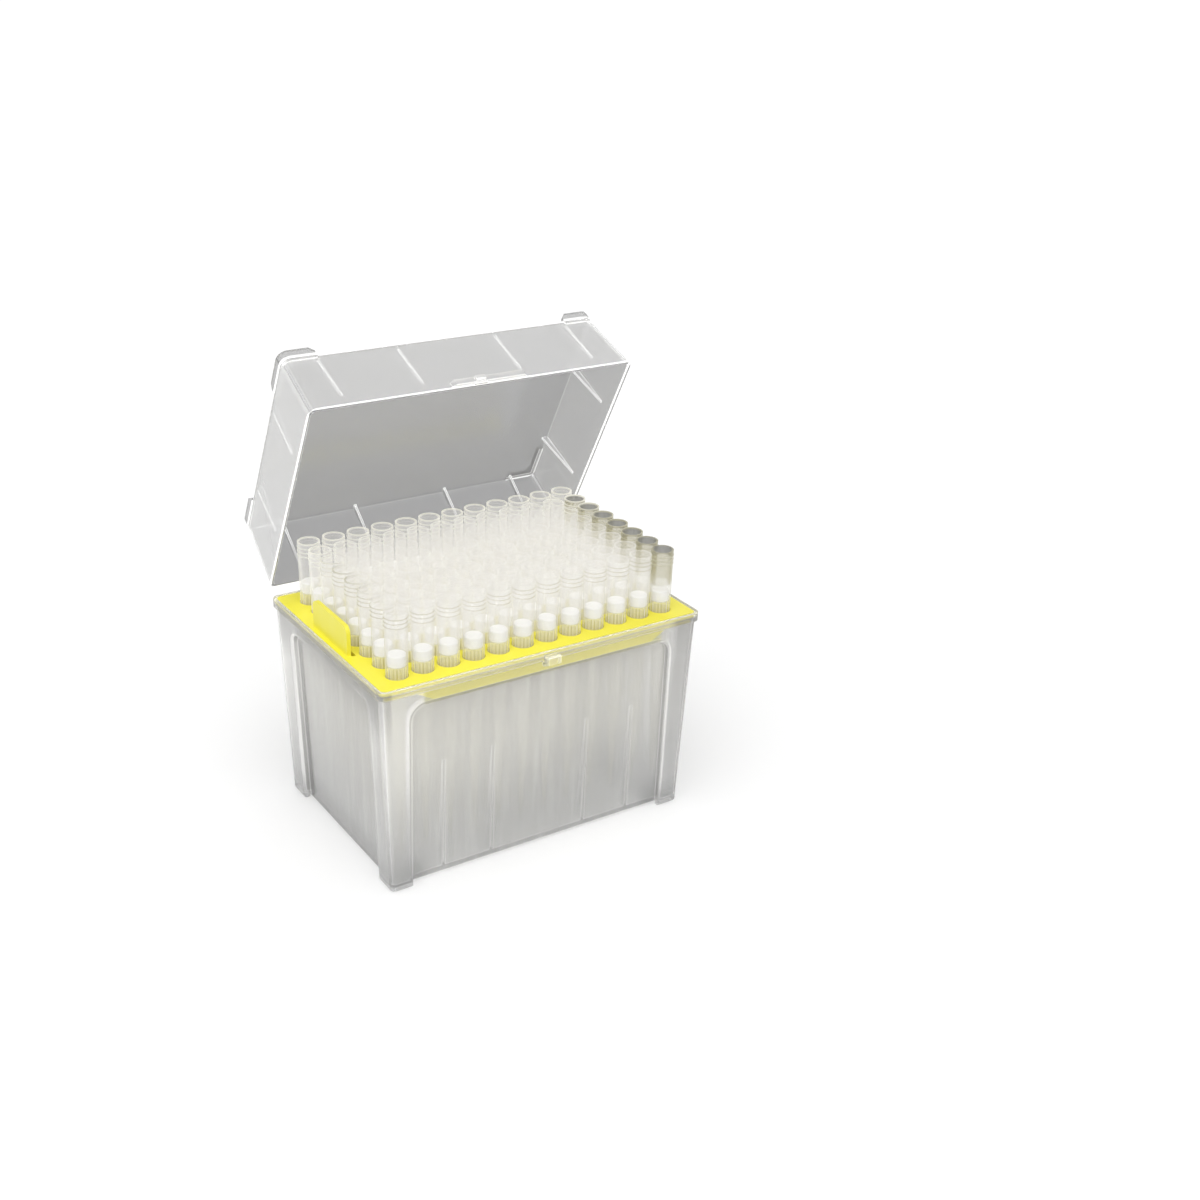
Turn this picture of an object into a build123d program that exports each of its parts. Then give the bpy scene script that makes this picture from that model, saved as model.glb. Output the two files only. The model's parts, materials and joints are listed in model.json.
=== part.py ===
from build123d import *
from math import cos, radians, sin, tan
import os

# A hinged box of 96 filter pipette tips, with its lid standing open.
# Frame: origin under the middle of the tip grid, on the plane the feet stand on.
# +X runs along the long side, +Y towards the hinge, +Z up. Millimetres.

os.makedirs("parts", exist_ok=True)

# Tip grid
pitch = 9.0
columns = 12
rows = 8

# Tips, with heights measured from the deck that they hang in
tip_above_deck = 21.8
tip_below_deck = 63.0
tip_mouth_radius = 3.78
tip_deck_radius = 3.5
tip_shank_radius = 2.95
tip_waist_radius = 1.9
tip_waist_depth = 34.0
tip_end_radius = 0.55
tip_orifice_radius = 0.28
tip_wall = 0.48
socket_radius = 3.3
socket_depth = 8.0
ring_depths = (1.7, 3.1, 4.6)
ring_height = 0.4
ring_proud = 0.14

# Filter plugs
filter_radius = 3.02
filter_height = 4.0
filter_above_deck = 3.5
filter_clearance = 0.03
filter_ledge = 0.35
filter_edge = 0.35

# Base box
end_margin = 10.5
side_margin = 9.7
base_wall = 1.2
floor_thickness = 1.4
floor_lift = 1.2
tip_floor_gap = 8.4
end_draft = 2.17
side_draft = 1.32
rim_overhang = 0.9
rim_height = 2.8
wall_corner_radius = 1.9
panel_depth = 2.4
panel_top_margin = 8.2
panel_corner_radius = 5.0
panel_edge_radius = 1.2
front_panel_half = 48.3
end_panel_half = 28.5
foot_leg = 2.0
rib_spots = (18.0, 36.0)
rib_thickness = 1.2
rib_foot = 3.0
rib_tip = 0.4
rib_height = 40.0

# Tip tray
plate_thickness = 1.6
tray_side_gap = 0.15
skirt_gap = 0.2
skirt_wall = 1.2
skirt_corner_radius = 1.6
skirt_depth = 3.6
deep_skirt_half = 47.0
deep_skirt_slope = 6.0
deep_skirt_blend = 4.0
hole_clearance = 0.27
seat_depth = 3.4
seat_clearance = 0.2
sleeve_radius = 4.2
sleeve_depth = 5.0
tab_half = 12.5
tab_height = 10.0
tab_thickness = 1.4
tab_corner_radius = 2.5
tab_lid_gap = 0.35
tab_slot_width = 1.4

# Lid, with heights measured from the base's rim when it is closed
lid_seat_gap = 0.2
lid_headroom = 2.2
lid_wall = 1.2
lid_plate = 1.2
lid_end_inset = 0.7
lid_side_overhang = 0.8
lid_draft_inset_x = 1.45
lid_draft_inset_y = 2.7
lid_corner_radius = 3.2
gusset_spots_x = (18.0, 46.0)
gusset_spots_y = (18.0,)
gusset_thickness = 0.8
gusset_foot = 2.2
gusset_rim_gap = 5.0
gusset_tip = 0.3
lip_height = 2.8
lip_thickness = 1.3
lip_root = 1.4
stack_clearance = 0.3
lip_leg_x = 12.0
lip_leg_y = 15.0
lip_end_chamfer = 1.6

# Latch
catch_width = 4.6
catch_proud = 3.0
catch_height = 4.2
catch_drop = 0.5
catch_groove_width = 1.4
catch_groove_depth = 0.9
catch_groove_from_rim = 0.7
catch_chamfer = 0.6
latch_lip_left = -9.7
latch_lip_right = 17.4
latch_lip_proud = 1.2
latch_lip_height = 2.2
latch_lip_chamfer = 0.96
latch_hood_width = 3.4
latch_hood_proud = 1.1
latch_hood_height = 1.6
latch_hood_wall = 0.6
nib_clearance = 0.3
nib_depth = 0.5

# Hinge
hinge_spots = (-34.0, 34.0)
hinge_behind_rim = 3.1
hinge_below_rim = 0.4
pin_radius = 1.1
pin_clearance = 0.06
knuckle_wall = 0.95
ear_wall = 0.9
knuckle_width = 12.0
ear_thickness = 2.4
ear_gap = 0.3
snap_slot_width = 1.8
arm_rim_gap = 0.5
arm_thickness = 2.2
open_angle = 62.0

# How near two shapes must be to count as touching
touch = 0.01

# Sizes that follow from these
grid_length = (columns - 1) * pitch
grid_width = (rows - 1) * pitch
inner_corner_radius = wall_corner_radius - base_wall
base_height = floor_lift + floor_thickness + tip_floor_gap + tip_below_deck
rim_length = grid_length + 2 * end_margin
rim_width = grid_width + 2 * side_margin
wall_length = rim_length - 2 * rim_overhang
wall_width = rim_width - 2 * rim_overhang
foot_length = wall_length - 2 * base_height * tan(radians(end_draft))
foot_width = wall_width - 2 * base_height * tan(radians(side_draft))
floor_top = floor_lift + floor_thickness
panel_top = base_height - panel_top_margin
hole_radius = tip_deck_radius + hole_clearance
seat_hole_radius = tip_shank_radius + seat_clearance
tray_length = wall_length - 2 * (base_wall - rim_overhang) - 2 * tray_side_gap
tray_width = wall_width - 2 * (base_wall - rim_overhang) - 2 * tray_side_gap
lid_height = tip_above_deck + lid_headroom + lid_plate - lid_seat_gap
lid_length = rim_length - 2 * lid_end_inset
lid_width = rim_width + 2 * lid_side_overhang
lid_rim = base_height + lid_seat_gap
lid_top = lid_rim + lid_height
hinge_y = rim_width / 2 + hinge_behind_rim
hinge_z = base_height - hinge_below_rim
knuckle_radius = pin_radius + pin_clearance + knuckle_wall
ear_radius = pin_radius + ear_wall


def drafted_body(low, high, low_size, high_size, low_radius, high_radius):
    """A solid with flat drafted sides between two rounded rectangles."""
    with BuildPart() as body:
        with BuildSketch(Plane.XY.offset(low)):
            RectangleRounded(*low_size, low_radius)
        with BuildSketch(Plane.XY.offset(high)):
            RectangleRounded(*high_size, high_radius)
        loft(ruled=True)
    return body.part


def inset_size(length, width, inset):
    return (length - 2 * inset, width - 2 * inset)


# Each wall of the base, as a plane on its outer face, the way inwards, and half the
# width of its recessed panel. The plane's local X runs along the wall and local Y up it.
side_lean = radians(side_draft)
end_lean = radians(end_draft)
walls = (
    (Plane((0, -foot_width / 2, 0), (1, 0, 0), (0, -cos(side_lean), -sin(side_lean))),
     Vector(0, 1, 0), front_panel_half),
    (Plane((0, foot_width / 2, 0), (-1, 0, 0), (0, cos(side_lean), -sin(side_lean))),
     Vector(0, -1, 0), front_panel_half),
    (Plane((-foot_length / 2, 0, 0), (0, -1, 0), (-cos(end_lean), 0, -sin(end_lean))),
     Vector(1, 0, 0), end_panel_half),
    (Plane((foot_length / 2, 0, 0), (0, 1, 0), (cos(end_lean), 0, -sin(end_lean))),
     Vector(-1, 0, 0), end_panel_half),
)


def panel_outline(plane, half_width, grow):
    """A wall panel's outline, open at the foot, grown on its top and sides."""
    bottom = -base_wall
    height = panel_top + grow - bottom
    with BuildSketch(plane) as outline:
        with Locations((0, bottom + height / 2)):
            Rectangle(2 * (half_width + grow), height)
        fillet(outline.vertices().group_by(Axis.Y)[-1], panel_corner_radius + grow)
    return outline.sketch


def on_plane(plane):
    """Picks the edges that lie on a plane."""
    return lambda edge: abs(plane.to_local_coords(edge.center()).Z) < touch


def side_profile(x, points):
    """A closed outline in a plane across the box at x, from (y, z) points."""
    with BuildSketch(Plane.YZ.offset(x)) as profile:
        with BuildLine():
            Polyline(*points, close=True)
        make_face()
    return profile.sketch


def end_profile(y, points):
    """A closed outline in a plane along the box at y, from (x, z) points."""
    with BuildSketch(Plane.XZ.offset(-y)) as profile:
        with BuildLine():
            Polyline(*points, close=True)
        make_face()
    return profile.sketch


# The space inside the base, stepped in behind each recessed panel
with BuildPart() as base_space:
    add(drafted_body(0, base_height, inset_size(foot_length, foot_width, base_wall),
                     inset_size(wall_length, wall_width, base_wall),
                     inner_corner_radius, inner_corner_radius))
    for wall_plane, inwards, half_width in walls:
        extrude(panel_outline(wall_plane, half_width, base_wall), amount=panel_depth + base_wall,
                dir=inwards, mode=Mode.SUBTRACT)
    split(bisect_by=Plane.XY.offset(floor_top), keep=Keep.TOP)

# The base box
rib_top = floor_top + rib_height


def inner_face_y(height):
    """Where the inside of a long wall's panel lies, measured from the middle."""
    return foot_width / 2 + height * tan(side_lean) - panel_depth - base_wall


with BuildPart() as base_box:
    add(drafted_body(0, base_height, (foot_length, foot_width), (wall_length, wall_width),
                     wall_corner_radius, wall_corner_radius))
    for wall_plane, inwards, half_width in walls:
        extrude(panel_outline(wall_plane, half_width, 0), amount=panel_depth, dir=inwards, mode=Mode.SUBTRACT)
        fillet(base_box.edges(Select.LAST).filter_by(on_plane(wall_plane)), panel_edge_radius)
    with BuildSketch(Plane.XY.offset(base_height - rim_height)):
        RectangleRounded(rim_length, rim_width, wall_corner_radius + rim_overhang)
    extrude(amount=rim_height)
    add(base_space.part, mode=Mode.SUBTRACT)
    # Only the L-shaped feet reach the ground
    with BuildSketch(Plane.XY):
        Rectangle(2 * front_panel_half, rim_width)
        Rectangle(rim_length, 2 * end_panel_half)
        Rectangle(*inset_size(foot_length, foot_width, foot_leg))
    extrude(amount=floor_lift, mode=Mode.SUBTRACT)
    # The seat that the tray's deck drops into
    with BuildSketch(Plane.XY.offset(base_height - plate_thickness - seat_clearance)):
        RectangleRounded(tray_length + 2 * tray_side_gap, tray_width + 2 * tray_side_gap,
                         wall_corner_radius)
    extrude(amount=plate_thickness + seat_clearance, mode=Mode.SUBTRACT)
    # Stiffening ribs inside the long walls, tapering upwards
    for side in (-1, 1):
        rib_points = (
            (side * (inner_face_y(floor_top) + rib_tip), floor_top - rib_tip),
            (side * (inner_face_y(floor_top) - rib_foot), floor_top - rib_tip),
            (side * (inner_face_y(rib_top) - rib_tip), rib_top),
            (side * (inner_face_y(rib_top) + rib_tip), rib_top),
        )
        for spot in rib_spots:
            for x in (-spot, spot):
                extrude(side_profile(x, rib_points), amount=rib_thickness / 2, both=True)
    # The catch block on the front rim, grooved for the lid's nib
    catch_top = base_height - catch_drop
    rim_front = -rim_width / 2
    groove_front = rim_front - catch_groove_from_rim
    catch_points = (
        (rim_front + rim_overhang / 2, catch_top),
        (groove_front, catch_top),
        (groove_front, catch_top - catch_groove_depth),
        (groove_front - catch_groove_width, catch_top - catch_groove_depth),
        (groove_front - catch_groove_width, catch_top),
        (rim_front - catch_proud + catch_chamfer / 2, catch_top),
        (rim_front - catch_proud, catch_top - catch_chamfer),
        (rim_front - catch_proud, catch_top - catch_height + catch_proud / 2),
        (rim_front, catch_top - catch_height),
        (rim_front + rim_overhang / 2, catch_top - catch_height),
    )
    extrude(side_profile(0, catch_points), amount=catch_width / 2, both=True)
    # The part of the block below the rim reaches back to the wall
    with BuildSketch(Plane.XZ.offset(-rim_front - rim_overhang / 2)):
        with Locations((0, (base_height - rim_height + catch_top - catch_height) / 2)):
            Rectangle(catch_width, base_height - rim_height - catch_top + catch_height)
    extrude(amount=-rim_overhang)
    # Hinge ears and the pins between them
    ear_low = hinge_z - ear_radius
    ear_high = base_height - hinge_below_rim
    ear_offset = knuckle_width / 2 + ear_gap
    for spot in hinge_spots:
        for x in (spot - ear_offset - ear_thickness / 2, spot + ear_offset + ear_thickness / 2):
            with BuildSketch(Plane.YZ.offset(x)):
                with Locations((hinge_y, hinge_z)):
                    Circle(ear_radius)
                with Locations(((wall_width / 2 + hinge_y) / 2, (ear_low + ear_high) / 2)):
                    Rectangle(hinge_y - wall_width / 2, ear_high - ear_low)
            extrude(amount=ear_thickness / 2, both=True)
        with BuildSketch(Plane.YZ.offset(spot)):
            with Locations((hinge_y, hinge_z)):
                Circle(pin_radius)
        extrude(amount=ear_offset + ear_thickness / 2, both=True)
base_box.part.label = "base_box"
export_step(base_box.part, "parts/base_box.step")

# The tray that holds the tips
ledge_height = (panel_top + base_wall) * cos(side_lean)
skirt_length = wall_length - 2 * (base_wall + skirt_gap) - 2 * skirt_depth * tan(end_lean)
skirt_width = wall_width - 2 * (base_wall + skirt_gap) - 2 * (base_height - ledge_height) * tan(side_lean)
lid_inset_at_tab = lid_draft_inset_x * (tab_height - lid_seat_gap) / lid_height
tab_x = -(lid_length / 2 - lid_inset_at_tab - lid_wall - tab_lid_gap - tab_thickness / 2)

with BuildPart() as tip_tray:
    with BuildSketch(Plane.XY.offset(base_height)):
        RectangleRounded(tray_length, tray_width, wall_corner_radius - tray_side_gap)
    extrude(amount=-plate_thickness)
    # A shallow skirt all round
    with BuildSketch(Plane.XY.offset(base_height - plate_thickness)):
        RectangleRounded(skirt_length, skirt_width, skirt_corner_radius)
        RectangleRounded(*inset_size(skirt_length, skirt_width, skirt_wall),
                         skirt_corner_radius - skirt_wall, mode=Mode.SUBTRACT)
    extrude(amount=-(skirt_depth - plate_thickness))
    # Deeper stretches at the front and back stand on the ledges above the wall panels
    skirt_end = skirt_length / 2 - skirt_corner_radius
    skirt_low = base_height - skirt_depth
    deep_points = (
        (-skirt_end, base_height - plate_thickness),
        (-skirt_end, skirt_low),
        (-deep_skirt_half, skirt_low),
        (-deep_skirt_half + deep_skirt_slope, ledge_height),
        (deep_skirt_half - deep_skirt_slope, ledge_height),
        (deep_skirt_half, skirt_low),
        (skirt_end, skirt_low),
        (skirt_end, base_height - plate_thickness),
    )
    for y in (-skirt_width / 2 + skirt_wall / 2, skirt_width / 2 - skirt_wall / 2):
        with BuildSketch(Plane.XZ.offset(-y)) as deep_skirt:
            with BuildLine():
                Polyline(*deep_points, close=True)
            make_face()
            corners = deep_skirt.vertices().filter_by(lambda corner: abs(corner.X) < skirt_end - touch)
            fillet(corners, deep_skirt_blend)
        extrude(amount=skirt_wall / 2, both=True)
    # A sleeve under each hole, with a ledge for the tip's shoulder
    with BuildSketch(Plane.XY.offset(base_height - plate_thickness)):
        with GridLocations(pitch, pitch, columns, rows):
            Circle(sleeve_radius)
    extrude(amount=-(sleeve_depth - plate_thickness))
    with BuildSketch(Plane.XY.offset(base_height)):
        with GridLocations(pitch, pitch, columns, rows):
            Circle(hole_radius)
    extrude(amount=-seat_depth, mode=Mode.SUBTRACT)
    with BuildSketch(Plane.XY.offset(base_height - seat_depth)):
        with GridLocations(pitch, pitch, columns, rows):
            Circle(seat_hole_radius)
    extrude(amount=-(sleeve_depth - seat_depth), mode=Mode.SUBTRACT)
    # The grip tab at the left end, and the slot behind it
    with BuildSketch(Plane.YZ.offset(tab_x)) as tab_outline:
        with Locations((0, base_height + tab_height / 2 - plate_thickness / 2)):
            Rectangle(2 * tab_half, tab_height + plate_thickness)
        fillet(tab_outline.vertices().group_by(Axis.Y)[-1], tab_corner_radius)
    extrude(amount=tab_thickness / 2, both=True)
    with BuildSketch(Plane.XY.offset(base_height)):
        with Locations((tab_x + tab_thickness / 2 + tab_slot_width / 2, 0)):
            Rectangle(tab_slot_width, 2 * (tab_half + tab_slot_width / 2))
    extrude(amount=-plate_thickness, mode=Mode.SUBTRACT)
tip_tray.part.label = "tip_tray"
export_step(tip_tray.part, "parts/tip_tray.step")

# One tip as a turned profile, its heights measured from the deck
filter_seat = filter_above_deck
bore_radius = filter_radius + filter_clearance
socket_floor = tip_above_deck - socket_depth
bore_top = filter_seat + filter_height + filter_radius / 2


def tip_outer_radius(height):
    """The hub's outer radius at a height above the deck."""
    return tip_deck_radius + (tip_mouth_radius - tip_deck_radius) * height / tip_above_deck


def ring_points(depth):
    """A raised ring around the hub, from its top edge down."""
    top = tip_above_deck - depth + ring_height / 2
    bottom = top - ring_height
    return (
        (tip_outer_radius(top), top),
        (tip_outer_radius(top) + ring_proud, top - ring_height / 4),
        (tip_outer_radius(bottom) + ring_proud, bottom + ring_height / 4),
        (tip_outer_radius(bottom), bottom),
    )


tip_points = [(socket_radius, tip_above_deck), (tip_mouth_radius, tip_above_deck)]
for depth in ring_depths:
    tip_points.extend(ring_points(depth))
tip_points.extend((
    (tip_deck_radius, 0),
    (tip_deck_radius, -seat_depth),
    (tip_shank_radius, -seat_depth),
    (tip_waist_radius, -tip_waist_depth),
    (tip_end_radius, -tip_below_deck),
    (tip_orifice_radius, -tip_below_deck),
    (tip_waist_radius - tip_wall, -tip_waist_depth),
    (tip_shank_radius - tip_wall, -seat_depth),
    (bore_radius - filter_ledge, filter_seat),
    (bore_radius, filter_seat),
    (bore_radius, bore_top),
    (socket_radius, socket_floor),
))

with BuildPart() as single_tip:
    with BuildSketch(Plane.XZ):
        with BuildLine():
            Polyline(*tip_points, close=True)
        make_face()
    revolve(axis=Axis.Z)

with BuildPart() as single_filter:
    with BuildSketch(Plane.XY.offset(filter_seat)):
        Circle(filter_radius)
    extrude(amount=filter_height)
    chamfer(single_filter.edges(), filter_edge)

for column in range(columns):
    column_x = (column - (columns - 1) / 2) * pitch
    name = f"{column + 1:02d}"
    with BuildPart() as tip_column:
        with Locations((column_x, 0, base_height)):
            with GridLocations(pitch, pitch, 1, rows):
                add(single_tip.part)
    tip_column.part.label = "tips_column_" + name
    export_step(tip_column.part, "parts/tips_column_" + name + ".step")
    with BuildPart() as filter_column:
        with Locations((column_x, 0, base_height)):
            with GridLocations(pitch, pitch, 1, rows):
                add(single_filter.part)
    filter_column.part.label = "filters_column_" + name
    export_step(filter_column.part, "parts/filters_column_" + name + ".step")

# The lid, drawn closed and then swung open about its hinge
plate_length = lid_length - 2 * lid_draft_inset_x
plate_width = lid_width - 2 * lid_draft_inset_y
inner_top = lid_top - lid_plate


def lid_inner_half(rim_size, inset, height):
    """Half the lid's inner width at a height, from its rim size and draft inset."""
    return rim_size / 2 - inset * (height - lid_rim) / lid_height - lid_wall


def gusset_points(rim_size, inset, side):
    """A gusset between plate and wall, wide at the plate, fading out near the rim."""
    low = lid_rim + gusset_rim_gap
    wall_low = lid_inner_half(rim_size, inset, low)
    wall_high = lid_inner_half(rim_size, inset, inner_top)
    return (
        (side * (wall_low + lid_wall / 2), low),
        (side * (wall_low - gusset_tip), low),
        (side * (wall_high - gusset_foot), inner_top),
        (side * (wall_high - gusset_foot), inner_top + lid_plate / 2),
        (side * (wall_high + lid_wall / 2), inner_top + lid_plate / 2),
    )


with BuildPart() as lid_closed:
    add(drafted_body(lid_rim, lid_top, (lid_length, lid_width), (plate_length, plate_width),
                     lid_corner_radius, lid_corner_radius))
    fillet(lid_closed.faces().sort_by(Axis.Z)[-1].edges(), lid_wall / 2)
    # The thickened latch lip at the front, with the small hood over its nib
    lid_front = -lid_width / 2
    lip_centre = (latch_lip_left + latch_lip_right) / 2
    with BuildSketch(Plane.XY.offset(lid_rim)) as latch_lip:
        with Locations((lip_centre, lid_front + lid_wall / 2 - (latch_lip_proud + lid_wall / 2) / 2)):
            Rectangle(latch_lip_right - latch_lip_left, latch_lip_proud + lid_wall / 2)
        chamfer(latch_lip.vertices().group_by(Axis.Y)[0], latch_lip_chamfer)
    extrude(amount=latch_lip_height)
    with BuildSketch(Plane.XY.offset(lid_rim)):
        with Locations((0, lid_front - latch_lip_proud - latch_hood_proud / 2)):
            Rectangle(latch_hood_width, latch_hood_proud)
    extrude(amount=latch_hood_height)
    with BuildSketch(Plane.XY.offset(lid_rim)):
        with Locations((0, lid_front - latch_lip_proud - (latch_hood_proud - latch_hood_wall) / 2)):
            Rectangle(latch_hood_width - 2 * latch_hood_wall, latch_hood_proud - latch_hood_wall)
    extrude(amount=latch_hood_height - latch_hood_wall, mode=Mode.SUBTRACT)
    # The hollow
    add(drafted_body(lid_rim, inner_top, inset_size(lid_length, lid_width, lid_wall),
                     (2 * lid_inner_half(lid_length, lid_draft_inset_x, inner_top),
                      2 * lid_inner_half(lid_width, lid_draft_inset_y, inner_top)),
                     lid_corner_radius - lid_wall, lid_corner_radius - lid_wall), mode=Mode.SUBTRACT)
    # The nib that drops into the catch block's groove
    nib_width = catch_groove_width - 2 * nib_clearance
    nib_y = -rim_width / 2 - catch_groove_from_rim - catch_groove_width / 2
    with BuildSketch(Plane.XY.offset(lid_rim)):
        with Locations((0, nib_y)):
            Rectangle(catch_width, nib_width)
    extrude(amount=-(lid_seat_gap + nib_depth))
    # Gussets inside the long and the short walls
    for side in (-1, 1):
        for spot in gusset_spots_x:
            for x in (-spot, spot):
                extrude(side_profile(x, gusset_points(lid_width, lid_draft_inset_y, side)),
                        amount=gusset_thickness / 2, both=True)
        for spot in gusset_spots_y:
            for y in (-spot, spot):
                extrude(end_profile(y, gusset_points(lid_length, lid_draft_inset_x, side)),
                        amount=gusset_thickness / 2, both=True)
    # L-shaped lips on the plate's corners hold the feet of the next box in a stack
    nest = inset_size(foot_length, foot_width, -stack_clearance)
    lip_outline = inset_size(*nest, -lip_thickness)
    with BuildSketch(Plane.XY.offset(lid_top - lip_root)):
        RectangleRounded(*lip_outline, wall_corner_radius + stack_clearance + lip_thickness)
        RectangleRounded(*nest, wall_corner_radius + stack_clearance, mode=Mode.SUBTRACT)
        Rectangle(lip_outline[0] - 2 * lip_leg_x, lip_outline[1], mode=Mode.SUBTRACT)
        Rectangle(lip_outline[0], lip_outline[1] - 2 * lip_leg_y, mode=Mode.SUBTRACT)
    extrude(amount=lip_root + lip_height)
    lip_ends = lid_closed.edges().group_by(Axis.Z)[-1]
    lip_ends = lip_ends.filter_by(lambda edge: edge.length < lip_thickness + touch)
    chamfer(lip_ends, lip_end_chamfer)
    # Hinge knuckles, open on one side so that they snap onto the pins
    lid_back = lid_width / 2
    arm_low = base_height + arm_rim_gap
    for spot in hinge_spots:
        with BuildSketch(Plane.YZ.offset(spot)):
            with Locations((hinge_y, hinge_z)):
                Circle(knuckle_radius)
            with Locations((hinge_y, (hinge_z + arm_low + arm_thickness) / 2)):
                Rectangle(2 * knuckle_radius, arm_low + arm_thickness - hinge_z)
            with Locations(((lid_back - lid_wall / 2 + hinge_y) / 2, arm_low + arm_thickness / 2)):
                Rectangle(hinge_y - lid_back + lid_wall / 2, arm_thickness)
            with Locations((hinge_y, hinge_z)):
                Circle(pin_radius + pin_clearance, mode=Mode.SUBTRACT)
            with Locations((hinge_y, hinge_z - knuckle_radius / 2)):
                Rectangle(snap_slot_width, knuckle_radius, mode=Mode.SUBTRACT)
        extrude(amount=knuckle_width / 2, both=True)

hinge_axis = Axis((0, hinge_y, hinge_z), (-1, 0, 0))
with BuildPart() as lid:
    add(lid_closed.part.rotate(hinge_axis, open_angle))
lid.part.label = "lid"
export_step(lid.part, "parts/lid.step")

print("base height", round(base_height, 2), "rim", round(rim_length, 2), "by", round(rim_width, 2))
print("lid height", round(lid_height, 2), "closed height", round(lid_top + lip_height, 2))
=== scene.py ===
import json
import math

import bpy
from mathutils import Matrix, Vector

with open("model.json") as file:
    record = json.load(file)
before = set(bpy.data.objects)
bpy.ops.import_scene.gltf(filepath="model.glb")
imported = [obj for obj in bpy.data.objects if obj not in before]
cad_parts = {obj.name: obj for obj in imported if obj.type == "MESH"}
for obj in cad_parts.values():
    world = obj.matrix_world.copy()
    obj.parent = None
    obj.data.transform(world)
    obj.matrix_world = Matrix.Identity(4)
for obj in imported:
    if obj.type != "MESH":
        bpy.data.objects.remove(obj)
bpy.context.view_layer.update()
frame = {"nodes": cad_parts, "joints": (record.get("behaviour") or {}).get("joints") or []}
nodes = frame["nodes"]
scene = bpy.context.scene
hinge = frame["joints"][0]
print("frame loaded with", len(nodes), "nodes")

tipNames = sorted(name for name in nodes if name.startswith("tips_column"))
filterNames = sorted(name for name in nodes if name.startswith("filters_column"))


def addNode(tree, kind, values=None, **settings):
    node = tree.nodes.new(kind)
    for key, value in settings.items():
        setattr(node, key, value)
    for socket, value in (values or {}).items():
        node.inputs[socket].default_value = value
    return node


def feed(tree, socket, value):
    # a number or colour goes on the socket itself, anything else is linked
    if isinstance(value, (int, float, tuple)):
        socket.default_value = value
    else:
        tree.links.new(value, socket)


def calculate(tree, operation, *values, clamp=False):
    node = addNode(tree, "ShaderNodeMath", operation=operation, use_clamp=clamp)
    for socket, value in zip(node.inputs, values):
        feed(tree, socket, value)
    return node.outputs[0]


def product(tree, first, *others):
    for other in others:
        first = calculate(tree, "MULTIPLY", first, other)
    return first


def largest(tree, first, *others):
    for other in others:
        first = calculate(tree, "MAXIMUM", first, other)
    return first


def inverse(tree, mask):
    return calculate(tree, "SUBTRACT", 1.0, mask)


def distanceFrom(tree, value, middle):
    return calculate(tree, "ABSOLUTE", calculate(tree, "SUBTRACT", value, middle))


def remap(tree, value, low, high, newLow=0.0, newHigh=1.0):
    # a ramp in the dictionaries below is the pair of places where its mask is 0 and where it is 1
    node = addNode(tree, "ShaderNodeMapRange", interpolation_type="SMOOTHSTEP")
    feed(tree, node.inputs["Value"], value)
    for name, number in (("From Min", low), ("From Max", high), ("To Min", newLow), ("To Max", newHigh)):
        feed(tree, node.inputs[name], number)
    return node.outputs["Result"]


def weaken(tree, value, mask, share):
    # brings a value down to a share of it where the mask is full
    return calculate(tree, "MULTIPLY", value, remap(tree, mask, 0.0, 1.0, 1.0, share))


def addShares(tree, look, total, *regions):
    for mask, share in regions:
        total = calculate(tree, "MULTIPLY_ADD", mask, look[share], total)
    return total


def blendColour(tree, mask, first, second):
    node = addNode(tree, "ShaderNodeMix", data_type="RGBA", clamp_factor=True)
    feed(tree, node.inputs[0], mask)
    feed(tree, node.inputs[6], first)
    feed(tree, node.inputs[7], second)
    return node.outputs[2]


def paint(tree, look, colour, *coats):
    # one tint over another, each where its own mask is full
    for mask, tint in coats:
        colour = blendColour(tree, mask, colour, look[tint])
    return colour


def readPlace(tree):
    place = addNode(tree, "ShaderNodeSeparateXYZ")
    tree.links.new(addNode(tree, "ShaderNodeTexCoord").outputs["Object"], place.inputs[0])
    return place.outputs["X"], place.outputs["Y"], place.outputs["Z"]


def startGroup(name, inputs, outputs):
    group = bpy.data.node_groups.new(name, "ShaderNodeTree")
    for label, start in inputs:
        socket = group.interface.new_socket(name=label, in_out="INPUT", socket_type="NodeSocketFloat")
        socket.default_value = start
    for label in outputs:
        group.interface.new_socket(name=label, in_out="OUTPUT", socket_type="NodeSocketFloat")
    return group, addNode(group, "NodeGroupInput"), addNode(group, "NodeGroupOutput")


def makeMouldSkin():
    # fine texture of the mould, slow cloudiness, and flow marks drawn out along the fill
    group, given, out = startGroup(
        "mouldSkin",
        (("Grain Scale", 900.0), ("Cloud Scale", 40.0), ("Flow Scale", 220.0), ("Flow Stretch", 0.06)),
        ("Grain", "Cloud", "Flow"),
    )
    place = addNode(group, "ShaderNodeTexCoord").outputs["Object"]
    stretch = addNode(group, "ShaderNodeCombineXYZ", {"X": 1.0, "Y": 1.0})
    drawn = addNode(group, "ShaderNodeVectorMath", operation="MULTIPLY")
    group.links.new(given.outputs["Flow Stretch"], stretch.inputs["Z"])
    group.links.new(place, drawn.inputs[0])
    group.links.new(stretch.outputs[0], drawn.inputs[1])
    for name, way, detail, roughness in (
        ("Grain", place, 3.0, 0.6),
        ("Cloud", place, 2.0, 0.5),
        ("Flow", drawn.outputs[0], 2.0, 0.55),
    ):
        noise = addNode(group, "ShaderNodeTexNoise", {"Detail": detail, "Roughness": roughness})
        group.links.new(way, noise.inputs["Vector"])
        group.links.new(given.outputs[name + " Scale"], noise.inputs["Scale"])
        group.links.new(noise.outputs["Fac"], out.inputs[name])
    return group


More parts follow.
